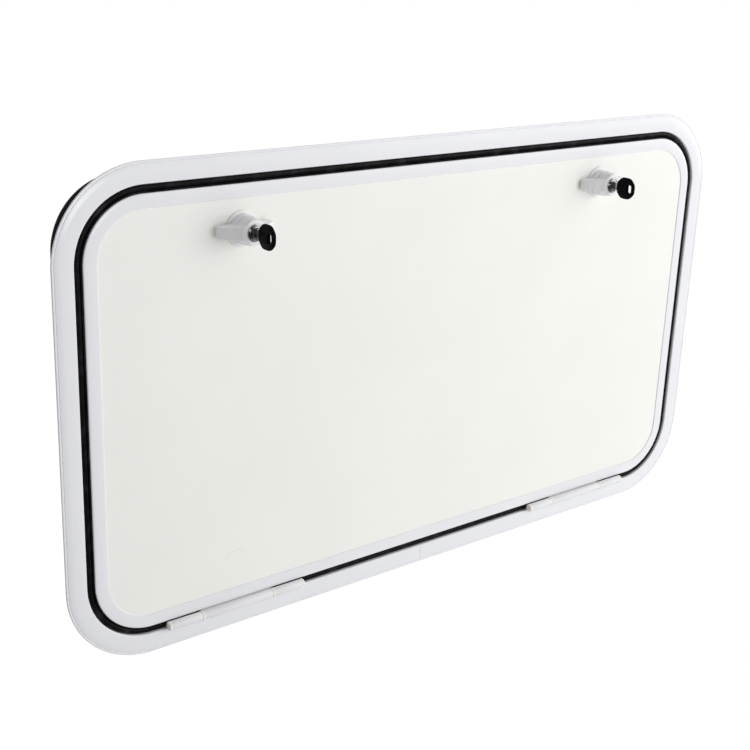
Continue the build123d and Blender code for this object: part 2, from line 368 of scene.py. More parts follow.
@dataclass(frozen=True)
class Finish:
    """A surface with a drifting tint, uneven gloss and fine relief.

    Scales are cells in a metre, and the relief is in millimetres.
    """

    slot: str
    colour: Triple
    roughness: float
    metallic: float = 0.0
    specular: float = 0.5
    tint_drift: float = 0.02
    tint_scale: float = 9.0
    gloss_drift: float = 0.05
    gloss_scale: float = 45.0
    gloss_span: Point = (0.2, 0.8)
    relief: float = 0.02
    relief_scale: float = 320.0

    def material(self) -> bpy.types.Material:
        """Build the node material.

        Returns:
            The material.
        """
        sketch = ShaderSketch(f"{self.slot}_finish")
        sketch.drive(Metallic=self.metallic, Specular_IOR_Level=self.specular)
        sketch.drive(Base_Color=self.tint(sketch), Roughness=self.gloss(sketch))
        sketch.bump(self.surface(sketch), self.relief)
        return sketch.material

    def shaded(self, share: float) -> Triple:
        """The colour, darker by a share."""
        return tuple(channel * (1 - share) for channel in self.colour)

    def tint(self, sketch: ShaderSketch) -> Socket:
        """Colour that drifts a little across the surface."""
        drift = sketch.spread(sketch.noise(self.tint_scale, detail=4.0), 0.0, 1.0)
        return sketch.mix(drift, self.shaded(self.tint_drift), self.colour)

    def gloss(self, sketch: ShaderSketch) -> Socket:
        """Roughness with faint cloudy marks."""
        ends = (self.roughness - self.gloss_drift, self.roughness + self.gloss_drift)
        return sketch.spread(sketch.noise(self.gloss_scale, detail=5.0), *ends, *self.gloss_span)

    def surface(self, sketch: ShaderSketch) -> Socket:
        """Height of the relief."""
        return sketch.noise(self.relief_scale, detail=2.0)


@dataclass(frozen=True)
class PowderCoat(Finish):
    """Baked coating on aluminium: orange peel over the metal's own slow waves."""

    gloss_drift: float = 0.02
    relief: float = 0.003
    relief_scale: float = 240.0
    wave_scale: float = 22.0
    wave_share: float = 2.0

    def surface(self, sketch: ShaderSketch) -> Socket:
        """Low ripples on long waves along the extrusion."""
        waves = sketch.times(sketch.noise(self.wave_scale, detail=1.0), self.wave_share)
        return sketch.math("ADD", sketch.noise(self.relief_scale, detail=1.0), waves)


@dataclass(frozen=True)
class GelCoat(Finish):
    """Sprayed panel face: faint clouding, glass print-through and one rubbed mark."""

    print_scale: float = 70.0
    print_share: float = 0.8
    scuff_place: Point = (-243.0, -170.0)
    scuff_radius: float = 13.0
    scuff_width: float = 2.2
    scuff_depth: float = 0.07
    scuff_least: float = 0.3

    def tint(self, sketch: ShaderSketch) -> Socket:
        """Clouded colour with the rubbed crescent on it."""
        return sketch.mix(self.scuff(sketch), super().tint(sketch), self.shaded(self.scuff_depth))

    def scuff(self, sketch: ShaderSketch) -> Socket:
        """Draw the rubbed mark, the upper part of a soft ring.

        Args:
            sketch: The material.

        Returns:
            The mark's strength.
        """
        x, z = self.scuff_place
        radius = self.scuff_radius * MM
        shift = {"Vector": sketch.coords, "Location": (-x * MM, 0.0, -z * MM)}
        place = sketch.split(sketch.node("ShaderNodeMapping", shift).outputs["Vector"])
        across, up = (sketch.times(place[axis], place[axis]) for axis in "XZ")
        reach = sketch.math("SQRT", sketch.math("ADD", across, up))
        off = sketch.math("ABSOLUTE", sketch.math("SUBTRACT", reach, radius))
        ring = sketch.spread(off, 1.0, 0.0, 0.0, self.scuff_width * MM)
        upper = sketch.spread(place["Z"], 0.0, 1.0, 0.0, radius)
        broken = sketch.spread(sketch.noise(self.print_scale, detail=4.0), self.scuff_least, 1.0)
        return sketch.times(ring, upper, broken)

    def surface(self, sketch: ShaderSketch) -> Socket:
        """Fine ripple over the broader print of the glass fibres."""
        broad = sketch.spread(sketch.noise(self.print_scale, detail=3.0), 0.0, self.print_share)
        return sketch.math("ADD", super().surface(sketch), broad)


@dataclass(frozen=True)
class MouldedPlastic(Finish):
    """Injection moulding from a spark-textured tool, a little polished by hands."""

    relief: float = 0.005
    pit_scale: float = 1100.0
    pit_share: float = 0.4
    pit_span: Point = (0.1, 0.6)

    def surface(self, sketch: ShaderSketch) -> Socket:
        """Pits of the tool's texture over slow waves."""
        pits = sketch.spread(sketch.cells(self.pit_scale), 0.0, self.pit_share, *self.pit_span)
        return sketch.math("ADD", super().surface(sketch), pits)


@dataclass(frozen=True)
class Rubber(Finish):
    """Extruded rubber with a bloom of dust along its run."""

    bloom: Triple = (0.05, 0.052, 0.058)
    bloom_scale: float = 70.0
    bloom_share: float = 0.5
    bloom_span: Point = (0.45, 0.8)

    def tint(self, sketch: ShaderSketch) -> Socket:
        """Black with pale dusty patches.

        Args:
            sketch: The material.

        Returns:
            The colour.
        """
        noise = sketch.noise(self.bloom_scale, detail=6.0)
        dust = sketch.spread(noise, 0.0, self.bloom_share, *self.bloom_span)
        return sketch.mix(dust, super().tint(sketch), self.bloom)


@dataclass(frozen=True)
class PlatedMetal(Finish):
    """Plated metal with the marks of polishing or tumbling."""

    metallic: float = 1.0
    grain: Grain = Grain.NONE
    grain_scale: float = 1800.0
    stain: float = 0.12
    stain_scale: float = 180.0
    stain_span: Point = (0.4, 0.75)

    def tint(self, sketch: ShaderSketch) -> Socket:
        """Bright plating with slightly dulled patches."""
        dull = sketch.spread(sketch.noise(self.stain_scale, detail=4.0), 0.0, 1.0, *self.stain_span)
        return sketch.mix(dull, super().tint(sketch), self.shaded(self.stain))

    def surface(self, sketch: ShaderSketch) -> Socket:
        """Fine lines along the grain."""
        return sketch.noise(self.grain_scale, detail=3.0, stretch=self.grain.value)


@dataclass(frozen=True)
class Stippled(Finish):
    """Sheet or foam whose surface is made of small cells."""

    cell_scale: float = 500.0
    cell_edge: float = 0.7

    def surface(self, sketch: ShaderSketch) -> Socket:
        """Rounded cells."""
        return sketch.spread(sketch.cells(self.cell_scale), 1.0, 0.0, 0.0, self.cell_edge)


class Paintbox:
    """All finishes, by the record's material slot."""

    ENAMEL: Triple = (0.815, 0.82, 0.85)
    HINGE_WHITE: Triple = (0.80, 0.803, 0.815)
    FINISHES: tuple[Finish, ...] = (
        PowderCoat("frame_enamel", ENAMEL, 0.22),
        PowderCoat("trim_enamel", ENAMEL, 0.24),
        PowderCoat("hinge_enamel", HINGE_WHITE, 0.26, relief=0.002, relief_scale=300.0),
        GelCoat("panel_gelcoat", (0.88, 0.876, 0.84), 0.36, relief=0.006, relief_scale=260.0),
        Stippled("core_foam", (0.74, 0.67, 0.48), 0.9, relief=0.2, cell_scale=900.0),
        Stippled("inner_laminate", (0.80, 0.80, 0.77), 0.5, relief=0.05, cell_scale=300.0),
        Rubber("seal_rubber", (0.003, 0.003, 0.004), 0.4, specular=0.16, relief=0.006),
        # The clamp ring's black is partly its own colour and partly painted shade: it stands for the dark band
        # behind the flange's corners
        MouldedPlastic("clamp_black", (0.010, 0.011, 0.014), 0.5, specular=0.25, relief=0.02),
        MouldedPlastic("hinge_nylon", (0.92, 0.88, 0.81), 0.42, relief=0.006),
        MouldedPlastic("lock_plastic", (0.88, 0.882, 0.89), 0.30),
        MouldedPlastic("handle_plastic", (0.87, 0.873, 0.885), 0.32),
        MouldedPlastic("key_black", (0.002, 0.002, 0.003), 0.42, specular=0.05, relief=0.008),
        PlatedMetal("pin_steel", (0.56, 0.56, 0.57), 0.32, grain=Grain.ALONG, relief=0.005),
        PlatedMetal("zinc_steel", (0.60, 0.61, 0.62), 0.34, relief=0.006, stain=0.25),
        PlatedMetal("cylinder_chrome", (0.78, 0.79, 0.80), 0.08, gloss_drift=0.03, relief=0.001),
        PlatedMetal("plug_nickel", (0.66, 0.65, 0.62), 0.16, gloss_drift=0.04, relief=0.003),
        PlatedMetal("key_nickel", (0.66, 0.65, 0.61), 0.22, grain=Grain.OUTWARD, relief=0.004),
    )

    def __init__(self) -> None:
        """Mix each finish once."""
        self.materials = {finish.slot: finish.material() for finish in self.FINISHES}

    def paint(self, piece: Piece, slot: str) -> None:
        """Give a piece one finish all over."""
        piece.data.materials.clear()
        piece.data.materials.append(self.materials[slot])


class MeshDraft:
    """A mesh under construction, in millimetres."""

    def __init__(self) -> None:
        """Start with nothing."""
        self.bm = bmesh.new()

    def ring(self, points: Iterable[Vector]) -> Ring:
        """Add a row of points."""
        return [self.bm.verts.new(point) for point in points]

    def bridge(self, first: Ring, second: Ring) -> None:
        """Join two closed rings.

        Args:
            first: A ring, or a single point.
            second: A ring of as many points, or a single point.
        """
        for index in range(max(len(first), len(second))):
            corners = [
                first[index % len(first)],
                first[(index + 1) % len(first)],
                second[(index + 1) % len(second)],
                second[index % len(second)],
            ]
            self.bm.faces.new(list(dict.fromkeys(corners)))

    def lathe(self, profile: Sequence[Point], place: Matrix, sides: int) -> None:
        """Turn a closed profile about the local third axis.

        Args:
            profile: Radius and distance along the axis.
            place: Where the axis stands.
            sides: Facets in a turn.
        """
        rings = []
        for radius, along in profile:
            turned = circle(radius, sides) if radius > 0 else [(0.0, 0.0)]
            rings.append(self.ring(place @ Vector((x, y, along)) for x, y in turned))
        for first, second in zip(rings, rings[1:] + rings[:1]):
            if len(first) + len(second) > 2:
                self.bridge(first, second)

    def plate(
        self, outlines: Sequence[Sequence[Point]], thickness: float, edge: float, place: Matrix
    ) -> None:
        """Add a plate with holes and rounded edges.

        Args:
            outlines: The outline, then the holes.
            thickness: Thickness along the local third axis, half to each side.
            edge: Radius of all edges.
            place: Where the plate's middle stands.
        """
        curve = bpy.data.curves.new("outline", "CURVE")
        curve.dimensions = "2D"
        curve.fill_mode = "BOTH"
        curve.extrude = thickness / 2 - edge
        curve.bevel_depth = edge
        curve.bevel_resolution = 2
        curve.offset = -edge
        for outline in outlines:
            spline = curve.splines.new("POLY")
            spline.points.add(len(outline) - 1)
            for point, (x, y) in zip(spline.points, outline):
                point.co = (x, y, 0, 1)
            spline.use_cyclic_u = True
        holder = bpy.data.objects.new("outline", curve)
        mesh = bpy.data.meshes.new_from_object(holder)
        mesh.transform(place)
        self.bm.from_mesh(mesh)
        bpy.data.objects.remove(holder)
        bpy.data.curves.remove(curve)
        bpy.data.meshes.remove(mesh)

    def block(self, low: Triple, high: Triple) -> None:
        """Add a box.

        Args:
            low: Its lowest corner.
            high: Its highest corner.
        """
        start, end = Vector(low), Vector(high)
        size = Matrix.Diagonal((*(end - start), 1.0))
        middle = Matrix.Translation((start + end) / 2)
        bmesh.ops.create_cube(self.bm, size=1.0, matrix=middle @ size)

    def piece(self, name: str, crease: float = CREASE) -> Piece:
        """Close the draft and make it an object in metres.

        Args:
            name: The object's name.
            crease: Edges that turn by more than this many degrees stay sharp.

        Returns:
            The object, at the origin with its place in its mesh.
        """
        bmesh.ops.remove_doubles(self.bm, verts=self.bm.verts, dist=WELD)
        bmesh.ops.recalc_face_normals(self.bm, faces=self.bm.faces)
        bmesh.ops.scale(self.bm, vec=Vector((MM, MM, MM)), verts=self.bm.verts)
        mesh = bpy.data.meshes.new(name)
        self.bm.to_mesh(mesh)
        self.bm.free()
        piece = add_object(name, mesh)
        smooth(piece, crease)
        return piece


def add_object(name: str, data: bpy.types.ID | None) -> Piece:
    """Put an object into the scene.

    Args:
        name: Its name.
        data: Its mesh, camera or light.

    Returns:
        The object.
    """
    made = bpy.data.objects.new(name, data)
    bpy.context.scene.collection.objects.link(made)
    return made


def smooth(piece: Piece, crease: float) -> None:
    """Shade a piece smooth, with sharp edges where it turns by more than crease degrees."""
    piece.data.shade_smooth()
    piece.data.set_sharp_from_angle(angle=math.radians(crease))


def discard(*pieces: Piece) -> None:
    """Remove helper objects with their meshes.

    Args:
        pieces: The helpers.
    """
    for piece in pieces:
        mesh = piece.data
        bpy.data.objects.remove(piece)
        bpy.data.meshes.remove(mesh)


def bake(piece: Piece, modifier: bpy.types.Modifier) -> None:
    """Replace a piece's mesh by what its modifier makes of it.

    Args:
        piece: The piece, in the scene.
        modifier: Its only modifier, removed here.
    """
    evaluated = piece.evaluated_get(bpy.context.evaluated_depsgraph_get())
    mesh = bpy.data.meshes.new_from_object(evaluated)
    piece.modifiers.remove(modifier)
    old, piece.data = piece.data, mesh
    bpy.data.meshes.remove(old)
    mesh.name = piece.name


def carve(piece: Piece, cutter: Piece) -> None:
    """Cut a helper's shape out of a piece.

    Args:
        piece: The piece to cut.
        cutter: The helper, used up.
    """
    modifier = piece.modifiers.new("carve", "BOOLEAN")
    modifier.operation = "DIFFERENCE"
    modifier.solver = "EXACT"
    modifier.use_self = True
    modifier.object = cutter
    bake(piece, modifier)
    discard(cutter)


def fit(piece: Piece, body: str, slot: str, *nodes: str) -> None:
    """Fix a finished piece to the frame.

    Args:
        piece: The piece, in place.
        body: The body that it moves with.
        slot: Not used.
        nodes: CAD nodes that it stands for.
    """
    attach(piece, body)
    if nodes:
        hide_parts(*nodes)
    LOG.info("%s: %d faces on %s", piece.name, len(piece.data.polygons), body)


class NodeGroup(NodeSketch):
    """A Geometry Nodes tree under construction, with named inputs."""

    def __init__(self, name: str) -> None:
        """Start a tree with one geometry output.

        Args:
            name: The tree's name.
        """
        super().__init__(bpy.data.node_groups.new(name, "GeometryNodeTree"))
        self.tree.interface.new_socket(
            "Geometry", in_out="OUTPUT", socket_type="NodeSocketGeometry"
        )
        self.entry = self.node("NodeGroupInput")
        self.identifiers: dict[str, str] = {}

    def input(self, name: str, kind: str) -> Socket:
        """Add a named input.

        Args:
            name: Its name.
            kind: Its type, such as Float, Int, Vector, Object or Material.

        Returns:
            The socket that gives its value.
        """
        socket = self.tree.interface.new_socket(
            name, in_out="INPUT", socket_type=f"NodeSocket{kind}"
        )
        self.identifiers[name] = socket.identifier
        return self.entry.outputs[name]

    def step(
        self, kind: str, feeds: dict[str, Any], result: str = "Geometry", **settings: Any
    ) -> Socket:
        """Add a geometry node.

        Args:
            kind: Its type, without the usual prefix.
            feeds: What goes into its inputs, by their names.
            result: The output that is used.
            settings: Its properties.

        Returns:
            That output.
        """
        return self.node(f"GeometryNode{kind}", feeds, **settings).outputs[result]

    def shape_of(self, name: str, as_instance: bool = False) -> Socket:
        """Geometry of an object that is named as an input."""
        source = self.input(name, "Object")
        return self.step("ObjectInfo", {"Object": source, "As Instance": as_instance})

    def rounded_path(self) -> Socket:
        """Draw a level rounded rectangle from named sizes.

        Returns:
            The closed curve.
        """
        sizes = {name: self.input(name, "Float") for name in ("Width", "Height")}
        corners = {
            "Curve": self.step("CurvePrimitiveQuadrilateral", sizes, "Curve"),
            "Radius": self.input("Corner Radius", "Float"),
            "Count": self.input("Corner Segments", "Int"),
        }
        return self.step("FilletCurve", corners, "Curve", mode="POLY")

    def upright(self, geometry: Socket) -> Socket:
        """Stand level geometry up against the wall."""
        return self.step("Transform", {"Geometry": geometry, "Rotation": (math.pi / 2, 0, 0)})

    def close(self, geometry: Socket) -> None:
        """Finish the tree with real geometry in one material.

        Args:
            geometry: What the tree has made.
        """
        real = self.step("RealizeInstances", {"Geometry": geometry})
        paint = {"Geometry": real, "Material": self.input("Finish", "Material")}
        self.node("NodeGroupOutput", {"Geometry": self.step("SetMaterial", paint)})

    def make(self, name: str, **values: Any) -> Piece:
        """Run the tree once and keep the result as a plain mesh.

        Args:
            name: The new object's name.
            values: The inputs, by name with _ for a space.

        Returns:
            The object, with no modifier left on it.
        """
        piece = add_object(name, bpy.data.meshes.new(name))
        modifier = piece.modifiers.new(self.tree.name, "NODES")
        modifier.node_group = self.tree
        for key, value in values.items():
            modifier[self.identifiers[key.replace("_", " ")]] = value
        bake(piece, modifier)
        smooth(piece, CREASE)
        return piece


class SweptRing(NodeGroup):
    """Tree that runs a section round a rounded rectangle and may cut notches in it."""

    def __init__(self, notched: bool) -> None:
        """Build the tree.

        Args:
            notched: Whether it has a cutter for an input.
        """
        super().__init__("Notched ring" if notched else "Swept ring")
        section = self.step("MeshToCurve", {"Mesh": self.shape_of("Section")}, "Curve")
        sweep = {"Curve": self.rounded_path(), "Profile Curve": section}
        shape = self.upright(self.step("CurveToMesh", sweep, "Mesh"))
        if notched:
            cut = {"Mesh 1": shape, "Mesh 2": self.shape_of("Cutter"), "Self Intersection": True}
            shape = self.step("MeshBoolean", cut, "Mesh", operation="DIFFERENCE", solver="EXACT")
        self.close(shape)


class FastenerTree(NodeGroup):
    """Tree that sets one fastener on many points."""

    def place(self, points: Socket, **extra: Any) -> None:
        """Put the fastener on each point and close the tree.

        Args:
            points: Where the fasteners go.
            extra: Other inputs of the instances.
        """
        fastener = self.shape_of("Fastener", as_instance=True)
        feeds = {"Points": points, "Instance": fastener, **extra}
        self.close(self.step("InstanceOnPoints", feeds, "Instances"))


class FastenerRing(FastenerTree):
    """Tree that spaces fasteners evenly round a rounded rectangle, each turned at random."""

    def __init__(self) -> None:
        """Build the tree."""
        super().__init__("Fastener ring")
        path = {"Curve": self.upright(self.rounded_path()), "Count": self.input("Count", "Int")}
        spaced = self.step("ResampleCurve", path, "Curve")
        shift = {"Geometry": spaced, "Translation": self.input("Seat", "Vector")}
        seated = self.step("Transform", shift)
        draw = {"Max": math.tau, "Seed": self.input("Seed", "Int")}
        turn = self.node("FunctionNodeRandomValue", draw)
        about = self.node("ShaderNodeCombineXYZ", {"Y": turn.outputs["Value"]})
        self.place(seated, Rotation=about.outputs["Vector"])


class FastenerRow(FastenerTree):
    """Tree that sets fasteners in a straight row."""

    def __init__(self) -> None:
        """Build the tree."""
        super().__init__("Fastener row")
        row = {
            "Count": self.input("Count", "Int"),
            "Start Location": self.input("First", "Vector"),
            "Offset": self.input("Step", "Vector"),
        }
        self.place(self.step("MeshLine", row, "Mesh"))


def section_shape(*outlines: Sequence[Point]) -> Piece:
    """Closed section for a sweep, from points given as inset and out.

    Args:
        outlines: The section's outline, then any holes.

    Returns:
        A helper object with a loop of edges for each outline.
    """
    points: list[Vector] = []
    edges: list[Point] = []
    for place, outline in enumerate(outlines):
        pairs = zip(outline, [*outline[1:], outline[0]])
        area = sum(x * next_y - next_x * y for (x, y), (next_x, next_y) in pairs)
        ordered = outline if (area > 0) == (place == 0) else outline[::-1]
        first = len(points)
        points += [Vector((-inset, -out, 0.0)) * MM for inset, out in ordered]
        edges += [(index, index + 1) for index in range(first, len(points) - 1)]
        edges.append((len(points) - 1, first))
    mesh = bpy.data.meshes.new("section")
    mesh.from_pydata(points, edges, [])
    return add_object("section", mesh)


@dataclass
class Workshop:
    """The finishes and the trees that several pieces share."""

    paints: Paintbox = field(default_factory=Paintbox)
    ring: SweptRing = field(default_factory=lambda: SweptRing(notched=False))
    notched_ring: SweptRing = field(default_factory=lambda: SweptRing(notched=True))
    fastener_ring: FastenerRing = field(default_factory=FastenerRing)
    fastener_row: FastenerRow = field(default_factory=FastenerRow)
    corner_segments: int = 40

    def path(self, width: float, height: float, radius: float, slot: str) -> dict[str, Any]:
        """Inputs that the trees with a rounded path share.

        Args:
            width: The path's size along x, in millimetres.
            height: Its size along z, in millimetres.
            radius: Radius of its corners, in millimetres.
            slot: The slot of the piece's finish.

        Returns:
            The inputs, by name.
        """
        return {
            "Width": width * MM,
            "Height": height * MM,
            "Corner_Radius": radius * MM,
            "Corner_Segments": self.corner_segments,
            "Finish": self.paints.materials[slot],
        }

    def sweep(
        self,
        name: str,
        slot: str,
        size: Vector,
        corner_radius: float,
        section: Piece,
        cutter: Piece | None = None,
    ) -> Piece:
        """Run a section round a rounded rectangle.

        Args:
            name: The piece's name.
            slot: The slot of its finish.
            size: Outer size of the path along x and z, in millimetres.
            corner_radius: Radius of the path's corners, in millimetres.
            section: Helper with the section, used up.
            cutter: Helper with the notches to cut, used up.

        Returns:
            The piece.
        """
        values = {"Section": section, **self.path(size.x, size.z, corner_radius, slot)}
        if cutter is None:
            piece = self.ring.make(name, **values)
        else:
            piece = self.notched_ring.make(name, Cutter=cutter, **values)
            discard(cutter)
        discard(section)
        return piece

    def dress(self, piece: Piece, body: str, slot: str, node: str) -> None:
        """Paint a piece and fix it to the frame in a node's stead."""
        self.paints.paint(piece, slot)
        fit(piece, body, slot, node)


@dataclass
class HatchFrame:
    """Bent aluminium frame in the wall, and the ring that clamps it from inside."""

    shop: Workshop
    corner_radius: float = 88.0
    edge_out: float = 1.5
    edge_round: float = 0.75
    bead_width: float = 1.7
    bead_out: float = 1.7
    groove_width: float = 0.7
    groove_out: float = 1.25
    groove_slope: float = 0.2
    groove_rise: float = 0.1
    groove_round: float = 0.15
    band_slope: float = 0.3
    band_rise: float = 0.05
    band_inset: float = 7.5
    band_out: float = 2.55
    band_radius: float = 12.0
    face_out: float = 2.6
    lip_inset: float = 20.8
    lip_radius: float = 1.6
    ledge_inset: float = 35.0
    ledge_out: float = -22.4
    ledge_round: float = 0.6
    reveal_round: float = 0.8
    wall: float = 1.8
    small_round: float = 0.3
    end_round: float = 0.4
    bend_round: float = 0.5
    joint_width: float = 0.3
    joint_depth: float = 0.9
    clearance: float = 1.0
    clamp_radius: float = 66.0
    clamp_inset: float = 15.0
    clamp_plate: float = 2.5
    clamp_collar: float = 1.7
    clamp_fit: float = 0.3
    clamp_round: float = 0.9
    screw_count: int = 16
    screw_seed: int = 7
    screw_sides: int = 24
    screw_inset: float = 23.5
    screw_radius: float = 3.4
    screw_height: float = 1.0
    screw_edge: float = 0.1
    screw_round: float = 0.5
    screw_slot: float = 0.8
    cross_reach: float = 2.1

    def build(self) -> None:
        """Make and fit the frame, the ring and the ring's screws."""
        low, high = node_box("outer_frame")
        extrusion = self.shop.sweep(
            "frame_extrusion",
            "frame_enamel",
            high - low,
            self.corner_radius,
            section_shape(self.section(-high.y)),
            self.joint(low.z),
        )
        fit(extrusion, "frame", "frame_enamel", "outer_frame")
        low, high = node_box("clamp_ring")
        # Painted shade in part: the ring is finished black so that the band behind the flange's corners reads dark
        clamp = self.shop.sweep(
            "inner_clamp_ring",
            "clamp_black",
            high - low,
            self.clamp_radius,
            section_shape(self.clamp_section(-low.y, -high.y)),
        )
        fit(clamp, "frame", "clamp_black", "clamp_ring")
        fit(self.screws(high), "frame", "zinc_steel")

    def section(self, leg_end: float) -> list[Point]:
        """Section of the extrusion.

        Args:
            leg_end: How far out the rear leg ends, a negative length.

        Returns:
            Bead, groove, sloped band, face, reveal, ledge and leg, as inset and out.
        """
        groove = self.bead_width + self.groove_width
        ledge_rear = self.ledge_out - self.wall
        leg = self.ledge_inset - self.wall
        reveal = self.lip_inset - self.wall
        return rounded_outline(
            [
                (0.0, 0.0, self.small_round),
                (0.0, self.edge_out, self.edge_round),
                (self.bead_width, self.bead_out, self.end_round),
                (self.bead_width + self.groove_slope, self.groove_out, self.groove_round),
                (groove, self.groove_out + self.groove_rise, self.groove_round),
                (groove + self.band_slope, self.bead_out + self.band_rise, self.small_round),
                (self.band_inset, self.band_out, self.band_radius),
                (self.lip_inset, self.face_out, self.lip_radius),
                (self.lip_inset, self.ledge_out, self.ledge_round),
                (self.ledge_inset, self.ledge_out, self.bend_round),
                (self.ledge_inset, leg_end, self.end_round),
                (leg, leg_end, self.end_round),
                (leg, ledge_rear, self.bend_round),
                (reveal, ledge_rear, self.reveal_round),
                (reveal, 0.0, self.end_round),
            ]
        )

    def joint(self, bottom: float) -> Piece:
        """Cutter for the hairline where the extrusion's ends meet at the bottom.

        Args:
            bottom: Height of the frame's lower edge.

        Returns:
            A helper with one thin box.
        """
        draft = MeshDraft()
        half = self.joint_width / 2
        draft.block(
            (-half, -self.face_out - self.clearance, bottom - self.clearance),
            (half, self.joint_depth - self.face_out, bottom + self.lip_inset + self.clearance),
        )
        return draft.piece("joint_cutter")

    def clamp_section(self, front: float, rear: float) -> list[Point]:
        """Section of the clamp ring, inwards from its own outer edge.

        Args:
            front: How far out the collar's front edge is.
            rear: How far out the plate's rear face is.

        Returns:
            The section, as inset from the ring's edge and out.
        """
        plate_front = rear + self.clamp_plate
        inside = self.ledge_inset - self.wall - self.clamp_fit - self.clamp_inset
        collar = inside - self.clamp_collar
        return rounded_outline(
            [
                (0.0, rear, self.clamp_round),
                (0.0, plate_front, self.small_round),
                (collar, plate_front, self.bend_round),
                (collar, front, self.end_round),
                (inside, front, self.end_round),
                (inside, rear, self.end_round),
            ]
        )

    def screw_head(self) -> Piece:
        """One cross-head screw, facing the rear.

        Returns:
            A helper at the origin.
        """
        draft = MeshDraft()
        profile = rounded_outline(
            [
                (0.0, 0.0, 0.0),
                (self.screw_radius, 0.0, self.screw_edge),
                (self.screw_radius, self.screw_height, self.screw_round),
                (0.0, self.screw_height, 0.0),
            ]
        )
        draft.lathe(profile, Facing.OUT.at(0.0, 0.0), self.screw_sides)
        head = draft.piece("screw_head")
        cross = MeshDraft()
        half, depth = self.screw_slot / 2, self.screw_height - self.screw_slot
        for x, z in ((self.cross_reach, half), (half, self.cross_reach)):
            cross.block((-x, -2 * self.screw_height, -z), (x, -depth, z))
        carve(head, cross.piece("screw_cross"))
        head.data.transform(Matrix.Rotation(math.pi, 4, "Z"))
        return head

    def screws(self, clamp_corner: Vector) -> Piece:
        """Screws round the clamp ring's rear face.

        Args:
            clamp_corner: Highest corner of the ring's box.

        Returns:
            All the screws.
        """
        inset = self.screw_inset - self.clamp_inset
        width, height = 2 * (clamp_corner.x - inset), 2 * (clamp_corner.z - inset)
        head = self.screw_head()
        screws = self.shop.fastener_ring.make(
            "clamp_screws",
            Fastener=head,
            Count=self.screw_count,
            Seat=(0.0, clamp_corner.y * MM, 0.0),
            Seed=self.screw_seed,
            **self.shop.path(width, height, self.clamp_radius - inset, "zinc_steel"),
        )
        discard(head)
        return screws


@dataclass
class HatchDoor:
    """The door's edge trim and its bulb seal."""

    shop: Workshop
    edge_inset: float = 28.7
    edge_round: float = 1.0
    face_out: float = 3.0
    face_drop: float = 0.05
    face_inset: float = 42.0
    lip_round: float = 0.92
    rear_out: float = -17.2
    rear_inset: float = 39.7
    rear_round: float = 0.5
    web: float = 1.6
    panel_out: float = 2.0
    panel_rear: float = -16.0
    crown: float = 2.8
    crown_drop: float = 0.45
    crown_round: float = 6.0
    bulb_inset: float = 24.2
    bulb_out: float = -2.1
    bulb_radius: float = 3.3
    bulb_steps: int = 40
    bore_radius: float = 1.9
    bore_sides: int = 24
    foot: float = 1.5
    foot_length: float = 6.5
    leaf_length: float = 160.0
    leaf_relief: float = 2.6
    knuckle_length: float = 84.0
    knuckle_relief: float = 8.9
    hinge_across: float = 243.5
    notch_depth: float = 15.0
    clearance: float = 1.0

    def build(self, around: HatchFrame) -> None:
        """Make and fit the trim and the seal.

        Args:
            around: The frame, whose path they follow.
        """
        low, high = node_box("outer_frame")
        size, radius = high - low, around.corner_radius
        section = section_shape(self.trim_section())
        trim = self.shop.sweep("door_edge_trim", "trim_enamel", size, radius, section)
        fit(trim, "door", "trim_enamel", "door_trim")
        bore = circle(self.bore_radius, self.bore_sides, (self.bulb_inset, self.bulb_out))
        section = section_shape(self.seal_section(), bore)
        notches = self.hinge_notches(low.z + around.lip_inset)
        seal = self.shop.sweep("bulb_seal", "seal_rubber", size, radius, section, notches)
        fit(seal, "door", "seal_rubber", "door_seal")

    def trim_section(self) -> list[Point]:
        """Section of the channel that wraps the panel's edge.

        Returns:
            The section, as inset and out.
        """
        inside = self.edge_inset + self.web
        return rounded_outline(
            [
                (self.edge_inset, self.rear_out, self.rear_round),
                (self.edge_inset, self.face_out - self.crown_drop, self.edge_round),
                (self.edge_inset + self.crown, self.face_out, self.crown_round),
                (self.face_inset, self.face_out - self.face_drop, self.lip_round),
                (self.face_inset, self.panel_out, 0.0),
                (inside, self.panel_out, 0.0),
                (inside, self.panel_rear, 0.0),
                (self.rear_inset, self.panel_rear, 0.0),
                (self.rear_inset, self.rear_out, self.rear_round),
            ]
        )

    def seal_section(self) -> list[Point]:
        """Section of the bulb on its flat foot.

        Returns:
            The section, as inset and out.
        """
        front = self.edge_inset - self.foot
        half = self.foot_length / 2
        start = math.acos((front - self.bulb_inset) / self.bulb_radius)
        middle = (self.bulb_inset, self.bulb_out)
        bulb = arc(self.bulb_radius, start, math.tau - 2 * start, self.bulb_steps, middle)
        low, high = (front, self.bulb_out - half), (self.edge_inset, self.bulb_out + half)
        return bulb + rectangle(low, high)

    def hinge_notches(self, lip: float) -> Piece:
        """Cutter that clears the seal for the hinges.

        Args:
            lip: Height of the frame's lower lip.

        Returns:
            A helper with two boxes for each hinge.
        """
        reliefs = (
            (self.leaf_length / 2, self.leaf_relief),
            (self.knuckle_length / 2, self.knuckle_relief),
        )
        draft = MeshDraft()
        for middle in (-self.hinge_across, self.hinge_across):
            for half, relief in reliefs:
                draft.block(
                    (middle - half, -self.notch_depth, lip - self.clearance),
                    (middle + half, self.notch_depth, lip + relief),
                )
        return draft.piece("hinge_notches")


